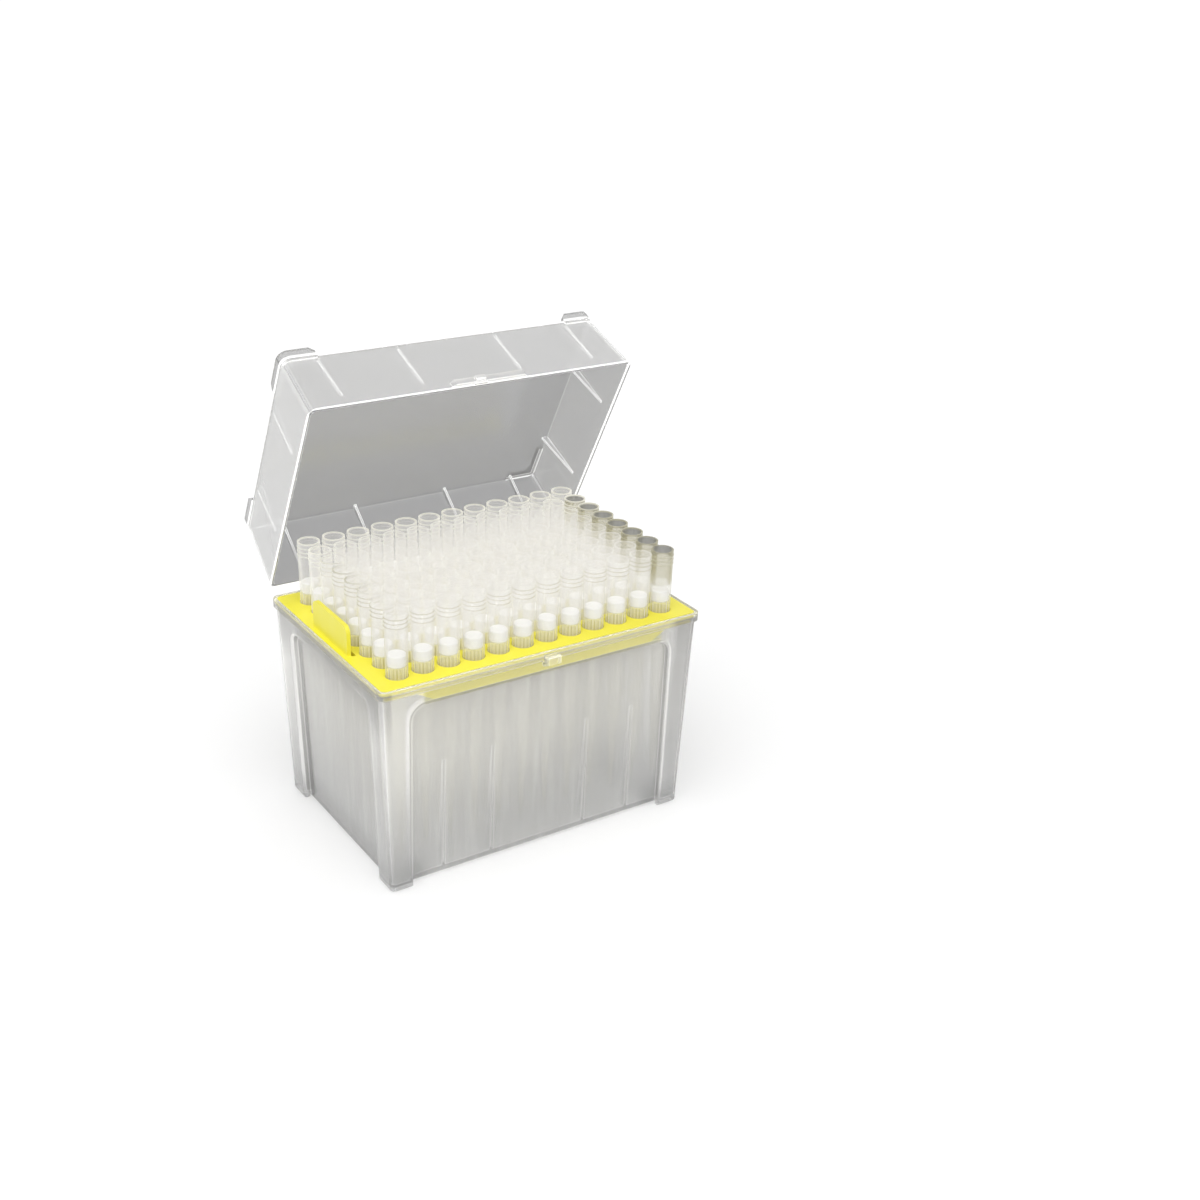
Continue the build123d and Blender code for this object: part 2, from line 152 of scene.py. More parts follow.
def makeEdgeLight():
    # edges and thin ribs of clear plastic gather light, so they read brighter than the walls
    inputs = (("Width", 0.0006), ("Low", 0.02), ("High", 0.25))
    group, given, out = startGroup("edgeLight", inputs, ("Mask",))
    rounded = addNode(group, "ShaderNodeBevel", samples=4)
    plain = addNode(group, "ShaderNodeNewGeometry")
    facing = addNode(group, "ShaderNodeVectorMath", operation="DOT_PRODUCT")
    group.links.new(given.outputs["Width"], rounded.inputs["Radius"])
    group.links.new(rounded.outputs["Normal"], facing.inputs[0])
    group.links.new(plain.outputs["Normal"], facing.inputs[1])
    away = inverse(group, facing.outputs["Value"])
    mask = remap(group, away, given.outputs["Low"], given.outputs["High"])
    group.links.new(mask, out.inputs["Mask"])
    return group


mouldSkin = makeMouldSkin()
edgeLight = makeEdgeLight()

# the stretch of the skin's noises that counts, for colour, for gloss and for streaks of light
skinRamps = {"colour": (0.35, 0.65), "gloss": (0.3, 0.7), "streaks": (0.48, 0.72)}
plasticIor = 1.49


def newSurface(name, roughness, clearness=0.0):
    # a principled surface in an empty material, ready for its colours
    material = bpy.data.materials.new(name)
    material.use_nodes = True
    tree = material.node_tree
    tree.nodes.clear()
    values = {"IOR": plasticIor, "Roughness": roughness, "Transmission Weight": clearness}
    return material, tree, addNode(tree, "ShaderNodeBsdfPrincipled", values)


def useSkin(tree, look):
    scales = {
        "Grain Scale": look["grainScale"],
        "Cloud Scale": look["cloudScale"],
        "Flow Scale": look["flowScale"],
    }
    return addNode(tree, "ShaderNodeGroup", scales, node_tree=mouldSkin).outputs


def useEdges(tree, look):
    node = addNode(tree, "ShaderNodeGroup", {"Width": look["edgeWidth"]}, node_tree=edgeLight)
    return node.outputs["Mask"]


def cloudTints(tree, skin, look):
    cloudy = remap(tree, skin["Cloud"], *skinRamps["colour"])
    return blendColour(tree, cloudy, look["tint"], look["cloudTint"])


def skinGloss(tree, noise, look):
    return remap(tree, noise, *skinRamps["gloss"], look["smooth"], look["rough"])


def addBump(tree, surface, height, depth):
    bump = addNode(tree, "ShaderNodeBump", {"Strength": 1.0, "Distance": depth})
    tree.links.new(height, bump.inputs["Height"])
    tree.links.new(bump.outputs["Normal"], surface.inputs["Normal"])


def finishClear(tree, surface, shadowTint):
    # lamps reach through clear plastic, tinted once at each face
    through = addNode(tree, "ShaderNodeBsdfTransparent", {"Color": shadowTint})
    lightPath = addNode(tree, "ShaderNodeLightPath")
    mixed = addNode(tree, "ShaderNodeMixShader")
    output = addNode(tree, "ShaderNodeOutputMaterial")
    tree.links.new(lightPath.outputs["Is Shadow Ray"], mixed.inputs[0])
    tree.links.new(surface.outputs[0], mixed.inputs[1])
    tree.links.new(through.outputs[0], mixed.inputs[2])
    tree.links.new(mixed.outputs[0], output.inputs["Surface"])


def finishSolid(tree, surface):
    output = addNode(tree, "ShaderNodeOutputMaterial")
    tree.links.new(surface.outputs[0], output.inputs["Surface"])


def lightEdges(tree, surface, look, wall, share, extra):
    # free edges and ribs catch the light that travels inside the plastic
    mask = calculate(tree, "MULTIPLY_ADD", useEdges(tree, look), share, extra, clamp=True)
    feed(tree, surface.inputs["Base Color"], blendColour(tree, mask, wall, look["edgeTint"]))
    unlit = (0.0, 0.0, 0.0, 1)
    glow = blendColour(tree, mask, unlit, look["edgeTint"])
    feed(tree, surface.inputs["Emission Color"], glow)
    surface.inputs["Emission Strength"].default_value = look["edgeGlow"]


def wallRoom(tree, height, draft, half, off):
    # how far a point lies inside a wall that leans with height
    return calculate(tree, "SUBTRACT", calculate(tree, "MULTIPLY_ADD", height, draft, half), off)


# lengths and places in these dictionaries are metres, on the axes of the box
boxLook = {
    "tint": (0.925, 0.921, 0.907, 1),
    "cloudTint": (0.885, 0.881, 0.867, 1),
    "edgeTint": (0.98, 0.975, 0.965, 1),
    "footShadeTint": (0.76, 0.76, 0.755, 1),
    "soleShadeTint": (0.60, 0.60, 0.598, 1),
    "capShadeTint": (0.62, 0.618, 0.61, 1),
    "rightTint": (0.64, 0.637, 0.628, 1),
    "stepTint": (0.66, 0.657, 0.65, 1),
    "stripeShadeTint": (0.42, 0.419, 0.413, 1),
    "rimTint": (0.95, 0.925, 0.66, 1),
    "yellowTint": (0.91, 0.90, 0.67, 1),
    "footRamp": (0.055, 0.0),  # these run up the wall
    "soleRamp": (0.014, 0.0),
    "capRamp": (0.050, 0.070),
    "rimRamp": (0.0728, 0.0736),
    "frontRamp": (0.010, 0.050),
    "soleEndRamp": (0.040, 0.046),  # these run along the box, from its middle
    "rightRamp": (0.047, 0.051),
    "frontEndRamp": (0.045, -0.01),
    "rightGlow": 0.25,
    "rimBottom": 0.0712,
    "yellowLow": 0.0662,  # where the tray's skirt shows through the wall
    "yellowHigh": 0.0712,
    "yellowHalf": 0.0445,
    "yellowFade": 0.0006,
    "edgeGlow": 0.22,
    "ridgeShare": 0.44,
    "endRidge": 2.2,
    "postShare": 0.38,
    "frontShare": 0.31,
    "streakShare": 0.09,
    "catchShare": 0.22,
    "rimShare": 0.11,
    "clearness": 0.80,
    "smooth": 0.20,
    "rough": 0.24,
    "grainScale": 1100.0,
    "grainDepth": 0.00002,
    "cloudScale": 30.0,
    "flowScale": 380.0,
    "edgeWidth": 0.0007,
    "shadowTint": (0.90, 0.90, 0.90, 1),
}

boxShell = {
    "halfLength": 0.0563,
    "halfWidth": 0.0386,
    "endDraft": 0.0379,
    "sideDraft": 0.0230,
    "panelTop": 0.0658,
    "panelCorner": 0.005,
    "panelDepth": 0.0030,
    "frontPanelHalf": 0.0483,
    "endPanelHalf": 0.0285,
    "ridgeMiddle": 0.0005,
    "ridgeRamp": (0.0006, 0.0003),
    "ridgeEnds": (0.0100, 0.0025),  # short of the panel's end
    "stepRamp": (0.0006, 0.0003),
    "stepDepthRamp": (0.0006, 0.0012),
    "postRamp": (0.0017, 0.0),
    "stripeFrontRamp": (0.0246, 0.0258),
    "stripeBackRamp": (0.0285, 0.0280),
    "catchHalf": 0.0026,
    "catchFront": 0.0415,
}


def fromOutline(tree, shell, side, height, half):
    # how far a point lies outside the outline of a recessed panel
    corner = shell["panelCorner"]
    sideways = calculate(tree, "SUBTRACT", side, half - corner)
    upwards = calculate(tree, "SUBTRACT", height, shell["panelTop"] - corner)
    outSide = calculate(tree, "MAXIMUM", sideways, 0.0)
    outUp = calculate(tree, "MAXIMUM", upwards, 0.0)
    squares = calculate(tree, "MULTIPLY_ADD", outSide, outSide, product(tree, outUp, outUp))
    nearest = calculate(tree, "MINIMUM", largest(tree, sideways, upwards), 0.0)
    reach = calculate(tree, "ADD", calculate(tree, "SQRT", squares), nearest)
    return calculate(tree, "SUBTRACT", reach, corner)


def panelLines(tree, shell, side, height, half, room):
    # the rounded edge round a panel, which catches light, and the step behind it, which loses it
    outside = fromOutline(tree, shell, side, height, half)
    ridge = remap(tree, distanceFrom(tree, outside, shell["ridgeMiddle"]), *shell["ridgeRamp"])
    nearEnd = remap(tree, side, *(half - gap for gap in shell["ridgeEnds"]))
    step = remap(tree, calculate(tree, "ABSOLUTE", outside), *shell["stepRamp"])
    behind = remap(tree, room, *shell["stepDepthRamp"])
    onWall = calculate(tree, "LESS_THAN", room, shell["panelDepth"])
    return product(tree, ridge, nearEnd, onWall), product(tree, step, behind, onWall), onWall


def boxRegions(tree, shell, look):
    # one mask for each stretch of the box that looks different from a plain wall
    x, y, height = readPlace(tree)
    along, across = calculate(tree, "ABSOLUTE", x), calculate(tree, "ABSOLUTE", y)
    endRoom = wallRoom(tree, height, shell["endDraft"], shell["halfLength"], along)
    sideRoom = wallRoom(tree, height, shell["sideDraft"], shell["halfWidth"], across)
    sideLines = panelLines(tree, shell, along, height, shell["frontPanelHalf"], sideRoom)
    endLines = panelLines(tree, shell, across, height, shell["endPanelHalf"], endRoom)
    sideRidge, sideStep, onSides = sideLines
    endRidge, endStep, onEnds = endLines
    found = {"ridges": largest(tree, sideRidge, product(tree, endRidge, look["endRidge"]))}
    found["steps"] = largest(tree, sideStep, endStep)
    # painted shade: a darker stripe beside the end panel, for the shadow inside the hollow of each back
    # post
    found["stripe"] = product(
        tree,
        remap(tree, y, *shell["stripeFrontRamp"]),
        remap(tree, y, *shell["stripeBackRamp"]),
        remap(tree, height, shell["panelTop"], shell["panelTop"] - shell["panelCorner"]),
        onEnds,
    )
    nearWalls = (remap(tree, room, *shell["postRamp"]) for room in (endRoom, sideRoom))
    found["posts"] = product(tree, *nearWalls)
    low, high = look["yellowLow"], look["yellowHigh"]
    half, fade = look["yellowHalf"], look["yellowFade"]
    found["yellow"] = product(
        tree,
        remap(tree, height, low - fade, low + fade),
        remap(tree, height, high + fade, high - fade),
        remap(tree, along, half + fade, half - fade),
        onSides,
    )
    beforeWall = calculate(tree, "GREATER_THAN", across, shell["catchFront"])
    found["catch"] = product(tree, calculate(tree, "LESS_THAN", along, shell["catchHalf"]), beforeWall)
    # painted shade: the right post is darker, on the side turned away from the light
    found["rightPost"] = product(tree, remap(tree, x, *look["rightRamp"]), onSides)
    leftward = remap(tree, x, *look["frontEndRamp"], look["rightGlow"], 1.0)
    found["front"] = product(tree, leftward, remap(tree, height, *look["frontRamp"]), onSides)
    # painted shade: the end walls darken towards their top
    found["cap"] = product(tree, remap(tree, height, *look["capRamp"]), onEnds)
    # painted shade: the wall darkens towards its foot, and more at the soles near the ends
    found["foot"] = remap(tree, height, *look["footRamp"])
    nearEnd = remap(tree, along, *look["soleEndRamp"])
    found["sole"] = product(tree, remap(tree, height, *look["soleRamp"]), nearEnd)
    # painted light: the rim's top face is tinted cream, as yellow light from the tray falls on it
    found["rimTop"] = remap(tree, height, *look["rimRamp"])
    aboveWall = calculate(tree, "GREATER_THAN", height, look["rimBottom"])
    found["rim"] = product(tree, aboveWall, inverse(tree, found["catch"]))
    return found


def makeFrostedBox(look):
    material, tree, surface = newSurface("frostedBox", look["smooth"], look["clearness"])
    skin = useSkin(tree, look)
    found = boxRegions(tree, boxShell, look)
    wall = paint(
        tree,
        look,
        cloudTints(tree, skin, look),
        (found["rightPost"], "rightTint"),
        (found["cap"], "capShadeTint"),
        (found["foot"], "footShadeTint"),
        (found["sole"], "soleShadeTint"),
        (found["yellow"], "yellowTint"),
        (found["rimTop"], "rimTint"),
        (found["steps"], "stepTint"),
        (found["stripe"], "stripeShadeTint"),
    )
    # painted light: streaks along the flow marks, the panel ridges, the corner posts and the front glow,
    # the front less towards its right end, and the catch glows too
    streaks = remap(tree, skin["Flow"], *skinRamps["streaks"])
    extra = addShares(
        tree,
        look,
        product(tree, streaks, look["streakShare"]),
        (found["ridges"], "ridgeShare"),
        (found["posts"], "postShare"),
        (found["front"], "frontShare"),
    )
    dull = largest(tree, *(found[name] for name in ("rim", "catch", "sole", "yellow", "steps")))
    extra = product(tree, extra, inverse(tree, dull))
    extra = addShares(tree, look, extra, (found["catch"], "catchShare"))
    share = remap(tree, found["rim"], 0.0, 1.0, 1.0, look["rimShare"])
    lightEdges(tree, surface, look, wall, share, extra)
    feed(tree, surface.inputs["Roughness"], skinGloss(tree, skin["Cloud"], look))
    addBump(tree, surface, skin["Grain"], look["grainDepth"])
    finishClear(tree, surface, look["shadowTint"])
    return material


lidLook = {
    "outerTint": (0.95, 0.946, 0.934, 1),
    "innerShadeTint": (0.362, 0.364, 0.372, 1),
    "backShadeTint": (0.265, 0.266, 0.27, 1),
    "endShadeTint": (0.41, 0.411, 0.412, 1),
    "brimShadowTint": (0.20, 0.20, 0.20, 1),
    "lipShadeTint": (0.52, 0.52, 0.517, 1),
    "edgeTint": (0.98, 0.98, 0.975, 1),
    "edgeGlow": 0.75,
    "outerShare": 0.9,  # shares of the light that an edge shows
    "backShare": 0.15,
    "innerShare": 0.18,
    "proudShare": 0.12,
    "rimInnerShare": 0.50,
    "cornerShare": 0.35,
    "ribShare": 0.16,
    "rimShare": 0.85,
    "lipSeenShare": 0.35,
    "endShare": 0.07,
    "brinkShare": 0.75,
    "proudExtra": 0.35,
    "clearness": 0.68,
    "smooth": 0.0,
    "rough": 0.02,
    "plateHaze": 0.19,
    "grainScale": 800.0,
    "grainDepth": 0.000004,
    "cloudScale": 25.0,
    "flowScale": 90.0,
    "edgeWidth": 0.0005,
    "shadowTint": (0.88, 0.88, 0.88, 1),
}

# places on the lid as it lies closed, with heights above its hinge
lidShell = {
    "halfLength": 0.0587,  # to the middle of the wall, at the rim
    "halfWidth": 0.0414,
    "plateMiddle": 0.0250,
    "rimHeight": 0.0006,
    "endDraft": 0.058,
    "sideDraft": 0.108,
    "fade": 0.00015,
    "wallInner": 0.0009,
    "backReach": 0.0030,
    "cornerRamp": (0.0014, 0.0),
    "rimTop": 0.0008,
    "brim": 0.0001,
    "proud": 0.0009,
    "lipRamp": (0.02575, 0.02605),
    "lipFromX": 0.0446,
    "lipFromY": 0.0239,
    "cornerDepth": 0.0012,
    "nearLineRamp": (0.00045, 0.00015),
    "farLine": 0.0014,
    "farLineRamp": (0.0003, 0.00009),
    "lipFill": 0.25,
    "inCornerRamp": (0.0008, 0.0004),
}


def addLidPlace(tree):
    # places in the lid as it lies closed: along its long side, towards its back, and up from the hinge
    openAngle = math.radians(-hinge["range_deg"][0])
    rise, run = math.sin(openAngle), math.cos(openAngle)
    place = addNode(tree, "ShaderNodeTexCoord").outputs["Object"]
    fromHinge = addNode(tree, "ShaderNodeVectorMath", operation="SUBTRACT")
    fromHinge.inputs[1].default_value = hinge["pos_m"]
    tree.links.new(place, fromHinge.inputs[0])
    found = []
    for way in ((1, 0, 0), (0, run, -rise), (0, rise, run)):
        along = addNode(tree, "ShaderNodeVectorMath", operation="DOT_PRODUCT")
        along.inputs[1].default_value = way
        tree.links.new(fromHinge.outputs[0], along.inputs[0])
        found.append(along.outputs["Value"])
    return found


def lipLightLines(tree, shell, fromCorner, onPlate, legs):
    # painted light: a pale double line along the hollow's upper corners, where the lips stand behind the
    # plate
    fade, farLine = shell["fade"], shell["farLine"]
    nearLine = remap(tree, fromCorner, *shell["nearLineRamp"])
    outerLine = remap(tree, distanceFrom(tree, fromCorner, farLine), *shell["farLineRamp"])
    between = remap(tree, fromCorner, farLine + fade, farLine - fade, 0.0, shell["lipFill"])
    outerLine = product(tree, largest(tree, outerLine, between), onPlate)
    return product(tree, largest(tree, nearLine, outerLine), legs)


def lidRegions(tree, shell):
    # one mask for each face, edge and line of the lid that looks different from a plain wall
    fade = shell["fade"]
    along, across, up = addLidPlace(tree)
    across = calculate(tree, "ADD", across, hinge["pos_m"][1])
    offAlong, offAcross = calculate(tree, "ABSOLUTE", along), calculate(tree, "ABSOLUTE", across)
    rise = calculate(tree, "SUBTRACT", up, shell["rimHeight"])
    endRoom = wallRoom(tree, rise, -shell["endDraft"], shell["halfLength"], offAlong)
    sideRoom = wallRoom(tree, rise, -shell["sideDraft"], shell["halfWidth"], offAcross)
    topRoom = calculate(tree, "SUBTRACT", shell["plateMiddle"], up)
    outward = calculate(tree, "MINIMUM", endRoom, sideRoom)
    room = calculate(tree, "MINIMUM", outward, topRoom)
    inside = remap(tree, room, -fade, fade)
    found = {"inside": inside, "lips": remap(tree, up, *shell["lipRamp"])}

    atBack = calculate(tree, "GREATER_THAN", across, 0.0)
    found["back"] = product(tree, remap(tree, sideRoom, shell["backReach"], shell["wallInner"]), atBack)
    nearWalls = (remap(tree, gap, *shell["cornerRamp"]) for gap in (endRoom, sideRoom))
    found["corner"] = product(tree, *nearWalls)
    found["ribs"] = remap(tree, room, shell["wallInner"], shell["wallInner"] + fade)
    found["plate"] = remap(tree, topRoom, shell["backReach"], shell["wallInner"])
    found["endFace"] = calculate(tree, "LESS_THAN", endRoom, calculate(tree, "MINIMUM", sideRoom, topRoom))
    belowPlate = remap(tree, topRoom, 0.0, shell["backReach"])
    found["ends"] = product(tree, remap(tree, endRoom, 0.0, -fade), belowPlate)
    overEdges = (remap(tree, gap, fade, -fade) for gap in (outward, topRoom))
    found["brink"] = product(tree, *overEdges)
    found["proud"] = remap(tree, outward, fade - shell["proud"], -fade - shell["proud"])

    # the outer half of the rim shines, but at the right end its inner half does, with a painted dark
    # shadow line along the rim's outermost edge
    rim = remap(tree, up, shell["rimTop"] + fade, shell["rimTop"] - fade)
    rim = product(tree, rim, calculate(tree, "GREATER_THAN", rise, -fade))
    onRight = calculate(tree, "GREATER_THAN", along, 0.0)
    rightEnd = product(tree, calculate(tree, "LESS_THAN", endRoom, sideRoom), onRight)
    found["rimInner"] = product(tree, inside, inverse(tree, rightEnd), rim)
    found["rim"] = calculate(tree, "SUBTRACT", rim, found["rimInner"])
    brim = remap(tree, endRoom, fade - shell["brim"], -fade - shell["brim"])
    found["brim"] = product(tree, brim, rightEnd, found["rim"])

    fromCorner = calculate(tree, "ADD", outward, topRoom)
    fromCorner = calculate(tree, "SUBTRACT", fromCorner, shell["cornerDepth"])
    onPlate = calculate(tree, "LESS_THAN", topRoom, outward)
    pastX = calculate(tree, "GREATER_THAN", offAlong, shell["lipFromX"])
    legs = product(tree, pastX, calculate(tree, "GREATER_THAN", offAcross, shell["lipFromY"]))
    found["lipSeen"] = product(tree, lipLightLines(tree, shell, fromCorner, onPlate, legs), inside)
    found["inCorner"] = product(tree, remap(tree, fromCorner, *shell["inCornerRamp"]), inside)
    return found


def makeCloudyLid(look):
    material, tree, surface = newSurface("cloudyLid", look["smooth"], look["clearness"])
    skin = useSkin(tree, look)
    found = lidRegions(tree, lidShell)
    # painted shade: inside the lid the faces are darker than the outer ones, darkest at the back wall, a
    # little lighter at the ends, and the lips share this shade
    dimmer = (found["endFace"], "endShadeTint"), (found["back"], "backShadeTint")
    hollow = paint(tree, look, look["innerShadeTint"], *dimmer)
    wall = blendColour(tree, found["inside"], look["outerTint"], hollow)
    wall = paint(tree, look, wall, (found["lips"], "lipShadeTint"), (found["brim"], "brimShadowTint"))
    plain = inverse(tree, largest(tree, found["lips"], found["brim"]))
    share = product(tree, remap(tree, found["inside"], 0.0, 1.0, look["outerShare"], 1.0), plain)
    for region, left in (
        ("proud", "proudShare"),
        ("inCorner", "innerShare"),
        ("back", "backShare"),
        ("rimInner", "rimInnerShare"),
    ):
        share = weaken(tree, share, found[region], look[left])
    # painted light: the corners, the ribs, the rim, the lips' lines, the ends and the outer brinks glow
    extra = addShares(
        tree,
        look,
        0.0,
        (found["corner"], "cornerShare"),
        (found["ribs"], "ribShare"),
        (found["rim"], "rimShare"),
        (found["lipSeen"], "lipSeenShare"),
        (found["ends"], "endShare"),
        (found["brink"], "brinkShare"),
    )
    extra = weaken(tree, product(tree, extra, plain), found["proud"], look["proudExtra"])
    lightEdges(tree, surface, look, wall, share, extra)
    hazy = product(tree, found["inside"], found["plate"], look["plateHaze"])
    frost = calculate(tree, "ADD", skinGloss(tree, skin["Flow"], look), hazy)
    feed(tree, surface.inputs["Roughness"], frost)
    addBump(tree, surface, skin["Grain"], look["grainDepth"])
    finishClear(tree, surface, look["shadowTint"])
    return material


tipLook = {
    "tint": (0.52, 0.515, 0.50, 1),
    "cloudTint": (0.50, 0.495, 0.475, 1),
    "lineTint": (0.31, 0.30, 0.23, 1),
    "backLineTint": (0.60, 0.59, 0.53, 1),
    "neckTint": (0.72, 0.70, 0.60, 1),
    "grooveTint": (0.44, 0.42, 0.28, 1),
    "rightTint": (0.31, 0.29, 0.18, 1),
    "shadeTint": (0.22, 0.22, 0.21, 1),
    "glow": (1.0, 0.975, 0.935, 1),
    "lineGlow": (0.46, 0.435, 0.30, 1),
    "backLineGlow": (0.86, 0.84, 0.74, 1),
    "shaftGlow": (0.10, 0.098, 0.094, 1),
    "neckGlow": (1.0, 0.975, 0.84, 1),
    "grooveGlow": (0.54, 0.52, 0.33, 1),
    "rightGlow": (0.42, 0.39, 0.24, 1),
    "shadeGlow": (0.18, 0.18, 0.17, 1),
    "glowStrength": 0.345,
    "amidVeil": 0.21,
    "clearVeil": 0.13,
    "lineVeil": 0.92,
    "mouthVeil": 0.40,
    "ringVeil": 0.32,
    "neckVeil": 0.08,
    "rightVeil": 0.12,
    "shadeVeil": 0.42,
    "shaftVeil": -0.05,
    "linePower": 2.6,
    "mouthPower": 2.0,
    "amidLines": 0.20,
    "frontMouth": 0.15,
    "grooveCount": 18.0,
    "pitch": 0.009,
    "columns": 12,
    "rows": 8,
    "rightFrom": 0.045,  # the greyer column, along and across the box
    "rightBack": 0.027,
    "amidRamps": (("X", -0.056, -0.036), ("X", 0.049, 0.032), ("Y", -0.042, -0.020), ("Y", 0.031, 0.014)),
    "backRamp": (0.0, 0.024),
    "frontRamp": (-0.030, 0.0),
    "mouthRamp": (0.0951, 0.09559),  # heights, like the four below
    "neckRamp": (0.0778, 0.0770),
    "shaftRamp": (0.074, 0.071),
    "shadeRamp": (0.0923, 0.0931),
    "rightRamp": (0.0832, 0.0844),
    "ringHeights": (0.0941, 0.0927, 0.0912),
    "ringRamp": (0.00033, 0.00011),  # away from a ring's own height
    "grooveRamp": (-0.1, 0.7),  # of the sine round a neck
    "smooth": 0.12,
    "rough": 0.2,
    "grainScale": 700.0,
    "grainDepth": 0.00001,
    "cloudScale": 60.0,
    "flowScale": 260.0,
    "shadowTint": (0.985, 0.983, 0.975, 1),
}


def tipRegions(tree, look):
    # light spreads between the tips, so those amid the others look milky and the outer ones clear
    x, y, height = readPlace(tree)
    ways = {"X": x, "Y": y}
    ramps = (remap(tree, ways[axis], outer, inner) for axis, outer, inner in look["amidRamps"])
    found = {"amid": product(tree, *ramps), "atBack": remap(tree, y, *look["backRamp"])}
    found["mouthFade"] = remap(tree, y, *look["frontRamp"], look["frontMouth"], 1.0)
    for name in ("mouth", "neck", "shaft"):
        found[name] = remap(tree, height, *look[name + "Ramp"])
    rings = 0.0
    for ringHeight in look["ringHeights"]:
        ring = remap(tree, distanceFrom(tree, height, ringHeight), *look["ringRamp"])
        rings = calculate(tree, "ADD", rings, ring)

    # each tip's own axis gives its bore, which faces it, and the grooves round its neck
    fromAxis = []
    for value, count in ((x, look["columns"]), (y, look["rows"])):
        fromEdge = calculate(tree, "ADD", value, count * look["pitch"] / 2)
        inCell = calculate(tree, "MODULO", fromEdge, look["pitch"])
        fromAxis.append(calculate(tree, "SUBTRACT", inCell, look["pitch"] / 2))
    normal = addNode(tree, "ShaderNodeSeparateXYZ")
    geometry = addNode(tree, "ShaderNodeNewGeometry").outputs
    tree.links.new(geometry["Normal"], normal.inputs[0])
    outward = product(tree, normal.outputs["X"], fromAxis[0])
    outward = calculate(tree, "MULTIPLY_ADD", normal.outputs["Y"], fromAxis[1], outward)
    bore = calculate(tree, "LESS_THAN", outward, 0.0)
    turn = product(tree, calculate(tree, "ARCTAN2", fromAxis[1], fromAxis[0]), look["grooveCount"])
    grooves = remap(tree, calculate(tree, "SINE", turn), *look["grooveRamp"])
    found["groove"] = product(tree, found["neck"], grooves)
    # rings show on the near side of the outer wall only
    unseen = largest(tree, bore, geometry["Backfacing"])
    found["rings"] = product(tree, rings, inverse(tree, unseen))

    # painted shade: the column at the right end is greyer, as if something dark stood to its right, and
    # its mouths are dark
    right = calculate(tree, "GREATER_THAN", x, look["rightFrom"])
    right = product(tree, right, calculate(tree, "LESS_THAN", y, look["rightBack"]))
    found["shade"] = product(tree, remap(tree, height, *look["shadeRamp"]), bore, right)
    found["right"] = product(tree, right, remap(tree, height, *look["rightRamp"]))
    return found


def makeMilkyTip(look):
    # a thin film, faint where it is seen flat on and denser along its outline, rings and mouth
    material, tree, surface = newSurface("milkyTip", look["smooth"])
    skin = useSkin(tree, look)
    found = tipRegions(tree, look)
    amid, rings = found["amid"], found["rings"]
    grazing = addNode(tree, "ShaderNodeLayerWeight", {"Blend": 0.5}).outputs["Facing"]
    outline = calculate(tree, "POWER", grazing, look["linePower"])
    strength = remap(tree, amid, 0.0, 1.0, 1.0, look["amidLines"])
    # mouths fade sooner than outlines
    clear = calculate(tree, "POWER", inverse(tree, amid), look["mouthPower"])
    mouth = product(tree, found["mouth"], clear, found["mouthFade"])
    veil = remap(tree, amid, 0.0, 1.0, look["clearVeil"], look["amidVeil"])
    for band, amount in ((outline, "lineVeil"), (mouth, "mouthVeil"), (rings, "ringVeil")):
        veil = addShares(tree, look, veil, (product(tree, band, strength), amount))
    for name in ("neck", "right", "shade", "shaft"):
        veil = calculate(tree, "MULTIPLY_ADD", found[name], look[name + "Veil"], veil, clamp=True)
    feed(tree, surface.inputs["Alpha"], veil)

    film, glow = cloudTints(tree, skin, look), look["glow"]
    # painted shade greys the right column and darkens its mouths
    for name in ("right", "neck", "groove", "shade"):
        film = blendColour(tree, found[name], film, look[name + "Tint"])
        glow = blendColour(tree, found[name], glow, look[name + "Glow"])
    lines = product(tree, largest(tree, outline, mouth, rings), strength)
    lineTint = blendColour(tree, found["atBack"], look["lineTint"], look["backLineTint"])
    lineGlow = blendColour(tree, found["atBack"], look["lineGlow"], look["backLineGlow"])
    glow = blendColour(tree, lines, glow, lineGlow)
    feed(tree, surface.inputs["Base Color"], blendColour(tree, lines, film, lineTint))
    # the glow is painted light, standing for light scattered between the hubs; it is brighter at the
    # necks, and the shafts under the tray get almost none
    glow = blendColour(tree, found["shaft"], glow, look["shaftGlow"])
    feed(tree, surface.inputs["Emission Color"], glow)
    surface.inputs["Emission Strength"].default_value = look["glowStrength"]
    feed(tree, surface.inputs["Roughness"], skinGloss(tree, skin["Flow"], look))
    addBump(tree, surface, skin["Grain"], look["grainDepth"])
    finishClear(tree, surface, look["shadowTint"])
    return material


trayLook = {
    "tint": (0.905, 0.835, 0.058, 1),
    "cloudTint": (0.88, 0.805, 0.05, 1),
    "edgeTint": (0.94, 0.88, 0.12, 1),
    "rightTint": (0.79, 0.72, 0.052, 1),
    "tabTint": (0.83, 0.765, 0.065, 1),
    "skirtTint": (0.80, 0.72, 0.015, 1),
    "rightRamp": (-0.045, 0.055),
    "tabRamp": (0.0742, 0.0750),
    "skirtRamp": (0.0724, 0.0718),
    "smooth": 0.32,
    "rough": 0.46,
    "grainScale": 900.0,
    "grainDepth": 0.00003,
    "cloudScale": 35.0,
    "flowScale": 120.0,
    "edgeWidth": 0.0005,
}


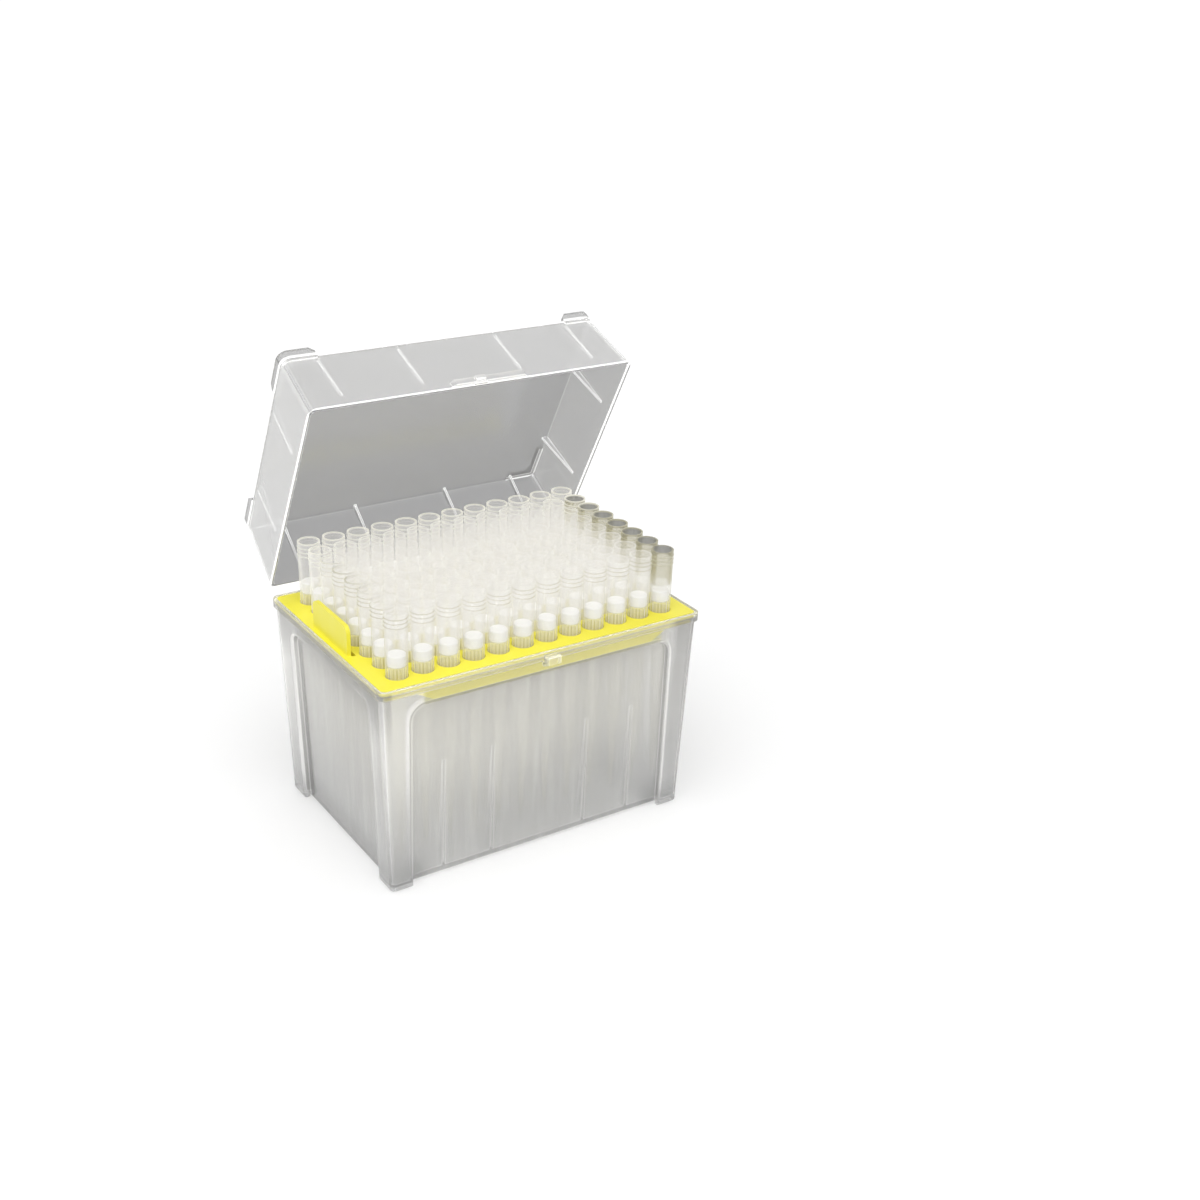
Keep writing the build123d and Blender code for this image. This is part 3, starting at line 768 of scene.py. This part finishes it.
def makeLemonTray(look):
    material, tree, surface = newSurface("lemonTray", look["smooth"])
    skin = useSkin(tree, look)
    along, _, height = readPlace(tree)
    # painted highlight on the edges, and painted shade darkening the tray towards its right end
    wall = paint(
        tree,
        look,
        cloudTints(tree, skin, look),
        (useEdges(tree, look), "edgeTint"),
        (remap(tree, along, *look["rightRamp"]), "rightTint"),
        (remap(tree, height, *look["tabRamp"]), "tabTint"),
        (remap(tree, height, *look["skirtRamp"]), "skirtTint"),
    )
    feed(tree, surface.inputs["Base Color"], wall)
    feed(tree, surface.inputs["Roughness"], skinGloss(tree, skin["Flow"], look))
    addBump(tree, surface, skin["Grain"], look["grainDepth"])
    finishSolid(tree, surface)
    return material


filterLook = {
    "tint": (0.88, 0.885, 0.89, 1),
    "poreTint": (0.80, 0.80, 0.79, 1),
    "poreScale": 2600.0,
    "poreDepth": 0.00008,
    "poreRamp": (0.1, 0.7),
    "roughness": 0.85,
}


def makePorousFilter(look):
    material, tree, surface = newSurface("porousFilter", look["roughness"])
    place = addNode(tree, "ShaderNodeTexCoord").outputs["Object"]
    pores = addNode(tree, "ShaderNodeTexVoronoi", {"Scale": look["poreScale"]}, feature="F1")
    tree.links.new(place, pores.inputs["Vector"])
    depth = remap(tree, pores.outputs["Distance"], *look["poreRamp"])
    feed(tree, surface.inputs["Base Color"], blendColour(tree, depth, look["tint"], look["poreTint"]))
    addBump(tree, surface, inverse(tree, depth), look["poreDepth"])
    finishSolid(tree, surface)
    return material


def assign(names, material):
    for name in names:
        for slot in nodes[name].material_slots:
            slot.material = material


assign(["base_box"], makeFrostedBox(boxLook))
assign(["lid"], makeCloudyLid(lidLook))
assign(["tip_tray"], makeLemonTray(trayLook))
assign(tipNames, makeMilkyTip(tipLook))
assign(filterNames, makePorousFilter(filterLook))
print("finishes assigned")

studio = {
    "floorColour": (0.90, 0.90, 0.90, 1),
    "floorRoughness": 0.9,
    "floorHalf": 30.0,
    "skyColour": (1, 1, 1, 1),
    "skyLight": 0.62,
    "skySeen": 1.0,
    "sunStrength": 2.0,
    "sunAngle": math.radians(70),
    "sunTurn": (math.radians(24), math.radians(-20), 0.0),
}


def makeFloor(look):
    bpy.ops.mesh.primitive_plane_add(size=2 * look["floorHalf"], location=(0, 0, 0))
    floor = bpy.context.object
    floor.name = "studioFloor"
    material, tree, surface = newSurface("studioFloor", look["floorRoughness"])
    surface.inputs["Base Color"].default_value = look["floorColour"]
    surface.inputs["Specular IOR Level"].default_value = 0.0
    finishSolid(tree, surface)
    floor.data.materials.append(material)


def makeLight(look):
    # the sky is seen white, and lights the object less than that
    world = bpy.data.worlds.new("studioSky")
    world.use_nodes = True
    scene.world = world
    tree = world.node_tree
    tree.nodes.clear()
    sky = addNode(tree, "ShaderNodeBackground", {"Color": look["skyColour"]})
    rays = addNode(tree, "ShaderNodeLightPath").outputs
    output = addNode(tree, "ShaderNodeOutputWorld")
    seen = largest(tree, rays["Is Camera Ray"], rays["Is Glossy Ray"], rays["Is Transmission Ray"])
    strength = remap(tree, seen, 0.0, 1.0, look["skyLight"], look["skySeen"])
    tree.links.new(strength, sky.inputs["Strength"])
    tree.links.new(sky.outputs[0], output.inputs["Surface"])

    sun = bpy.data.objects.new("studioLamp", bpy.data.lights.new("studioLamp", "SUN"))
    sun.data.energy = look["sunStrength"]
    sun.data.angle = look["sunAngle"]
    sun.rotation_euler = look["sunTurn"]
    scene.collection.objects.link(sun)


makeFloor(studio)
makeLight(studio)

cameraView = {
    "azimuth": math.radians(-34.47),
    "elevation": math.radians(24.44),
    "roll": math.radians(2.13),
    "target": Vector((0.03577, -0.0158, 0.074)),
    "distance": 0.54724,
    "lens": 48.07,
    "sensorWidth": 36,
    "nearest": 0.01,
    "farthest": 200,
}


def makeCamera(view):
    turn, rise, roll = view["azimuth"], view["elevation"], view["roll"]
    back = Vector((math.sin(turn) * math.cos(rise), -math.cos(turn) * math.cos(rise), math.sin(rise)))
    right = Vector((math.cos(turn), math.sin(turn), 0))
    up = back.cross(right)
    rolledRight = right * math.cos(roll) + up * math.sin(roll)
    rolledUp = up * math.cos(roll) - right * math.sin(roll)
    camera = bpy.data.objects.new("studioCamera", bpy.data.cameras.new("studioCamera"))
    camera.data.sensor_width = view["sensorWidth"]
    camera.data.lens = view["lens"]
    camera.data.clip_start = view["nearest"]
    camera.data.clip_end = view["farthest"]
    facing = Matrix((rolledRight, rolledUp, back)).transposed().to_4x4()
    camera.matrix_world = Matrix.Translation(view["target"] + back * view["distance"]) @ facing
    scene.collection.objects.link(camera)
    scene.camera = camera


makeCamera(cameraView)

# light crosses many clear walls before it leaves the box
bounces = {"clear": 48, "glossy": 8, "diffuse": 12, "transparent": 128}
scene.view_settings.view_transform = "Standard"
scene.cycles.max_bounces = bounces["clear"]
scene.cycles.transmission_bounces = bounces["clear"]
scene.cycles.glossy_bounces = bounces["glossy"]
scene.cycles.diffuse_bounces = bounces["diffuse"]
scene.cycles.transparent_max_bounces = bounces["transparent"]
print("studio and camera ready")
